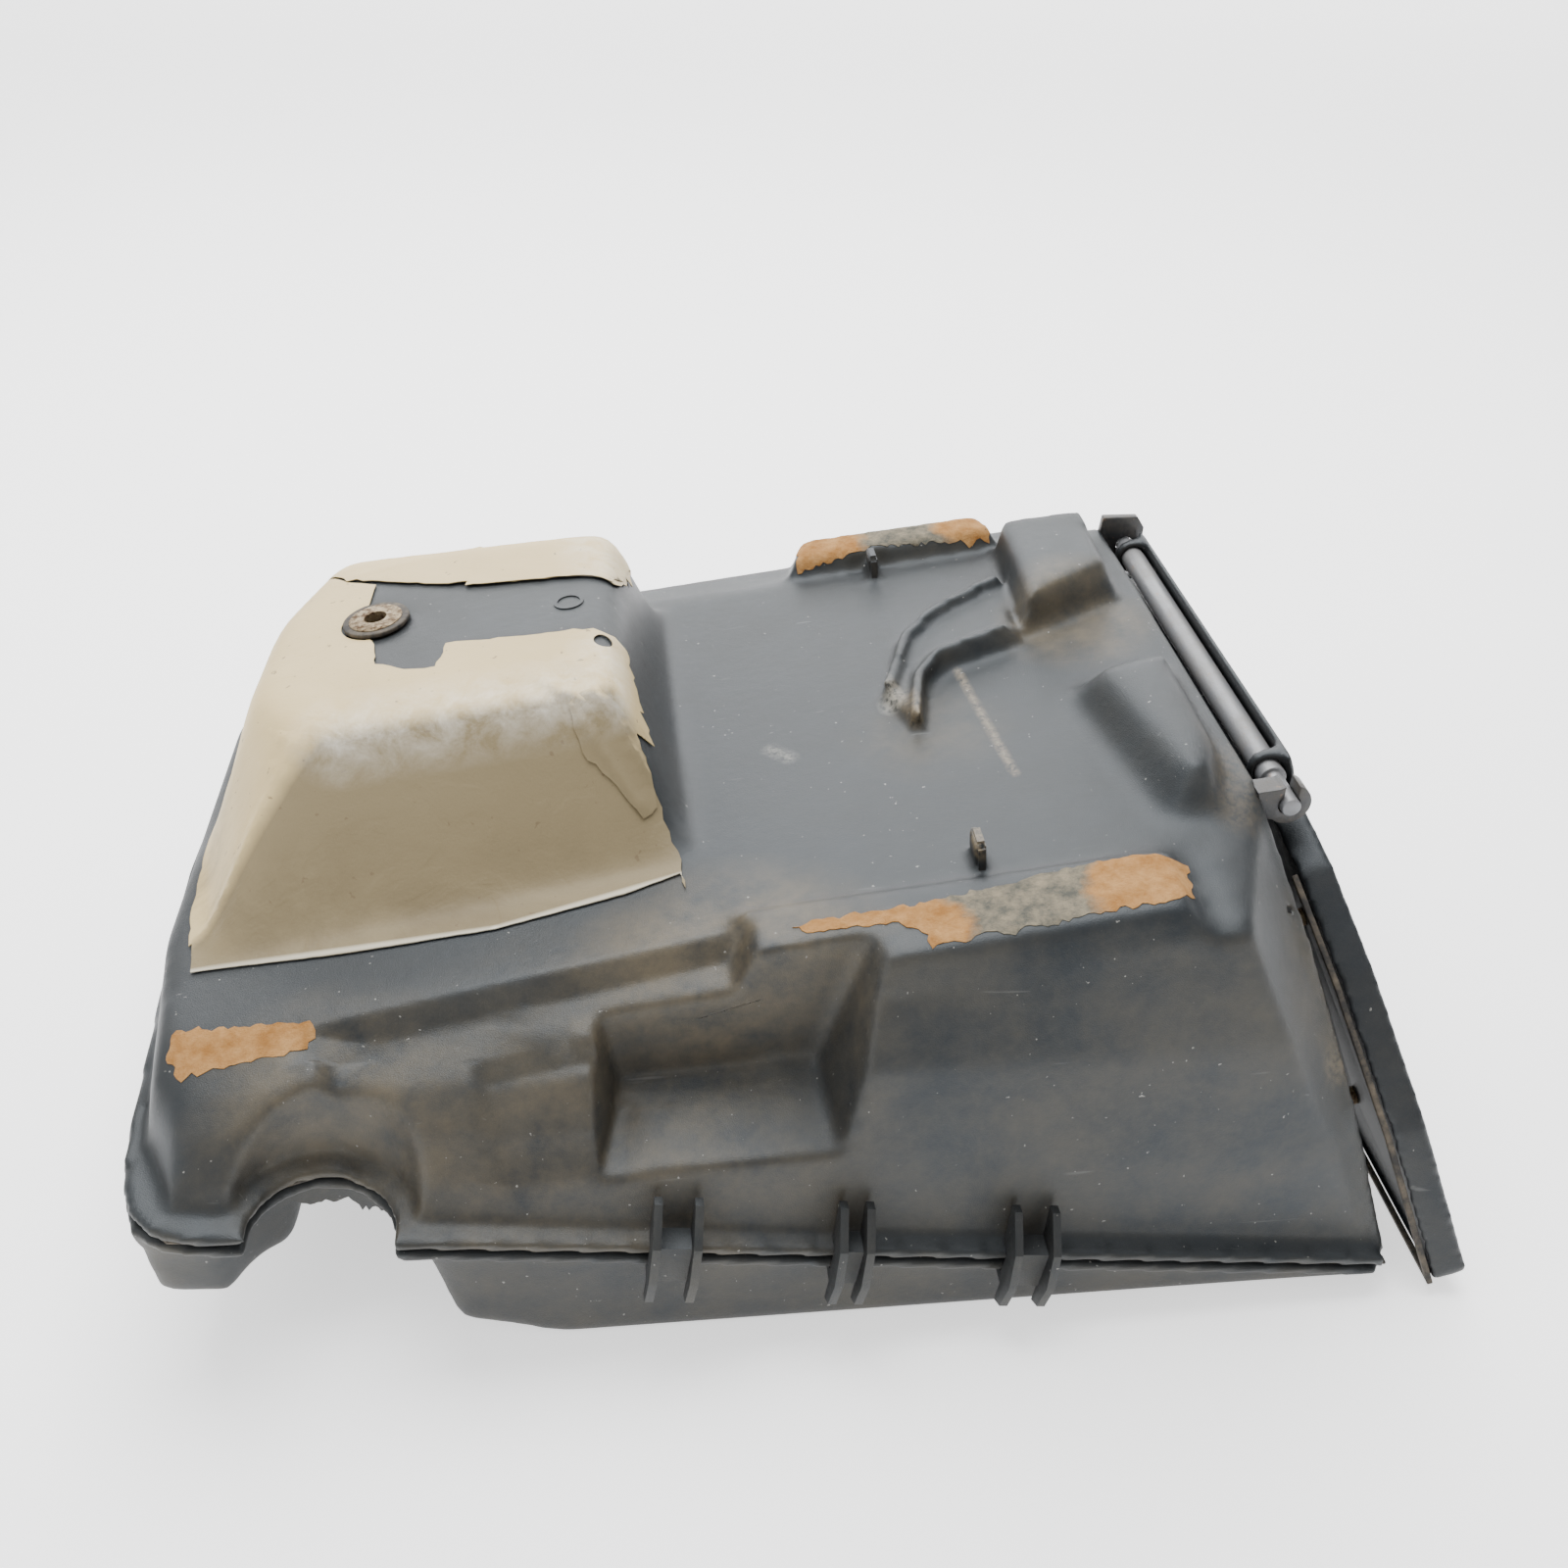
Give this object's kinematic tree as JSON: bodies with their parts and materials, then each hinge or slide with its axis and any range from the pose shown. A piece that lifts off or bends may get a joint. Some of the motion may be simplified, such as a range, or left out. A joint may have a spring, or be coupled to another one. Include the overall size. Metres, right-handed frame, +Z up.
{
  "type": "vehicle storage box",
  "caption": "Moulded two-shell storage box with a raised taped block, a hinged lid at its mouth and snap clips along the seam.",
  "frame": {"origin": "middle of the whole object's footprint, on the surface it stands on", "axes": "+Z up, +X towards the lid, +Y towards the far long side; the lid hinge runs along Y"},
  "size_m": [0.4406, 0.36, 0.1606],
  "materials": {
    "black_plastic": "fine moulded grain, dusty",
    "rubber": "matt",
    "steel": "dull, lightly rusted",
    "black_metal": "satin black",
    "heat_tape": "aged beige foil tape, worn to silver at the edges",
    "foam": "orange-tan foam residue"
  },
  "bodies": {
    "case": {"upper_shell": "black_plastic", "lower_shell": "black_plastic", "seam_seal": "rubber", "mount_grommet": "rubber", "mount_collar": "steel", "hinge_hook": "black_plastic", "hinge_ear": "black_plastic", "latch_strike": "steel", "heat_tape_rear": "heat_tape", "heat_tape_left": "heat_tape", "heat_tape_front": "heat_tape", "foam_pad_near": "foam", "foam_pad_rear": "foam", "foam_pad_corner": "foam", "seam_clip_near_1": "black_plastic", "seam_clip_near_2": "black_plastic", "seam_clip_near_3": "black_plastic", "seam_clip_far_1": "black_plastic", "seam_clip_far_2": "black_plastic", "seam_clip_far_3": "black_plastic"},
    "lid": {"lid_outer": "black_plastic", "lid_inner": "black_plastic", "lid_seal": "rubber", "hinge_rod": "black_metal", "lid_screw_1": "steel", "lid_screw_2": "steel", "lid_screw_3": "steel", "lid_screw_4": "steel"},
    "latch": {"latch_stem": "black_plastic", "latch_knob": "black_plastic", "latch_cam": "steel", "latch_nut": "steel"}
  },
  "joints": [
    {"name": "lid_hinge", "type": "hinge", "parent": "case", "child": "lid", "pos_m": [0.1625, 0, 0.137], "axis": [0, -1, 0], "range_deg": [-4.5, 95]},
    {"name": "latch_turn", "type": "hinge", "parent": "lid", "child": "latch", "pos_m": [0.20044, 0, 0.03162], "axis": [0.9409, 0, 0.3387], "range_deg": [-90, 0]}
  ]
}
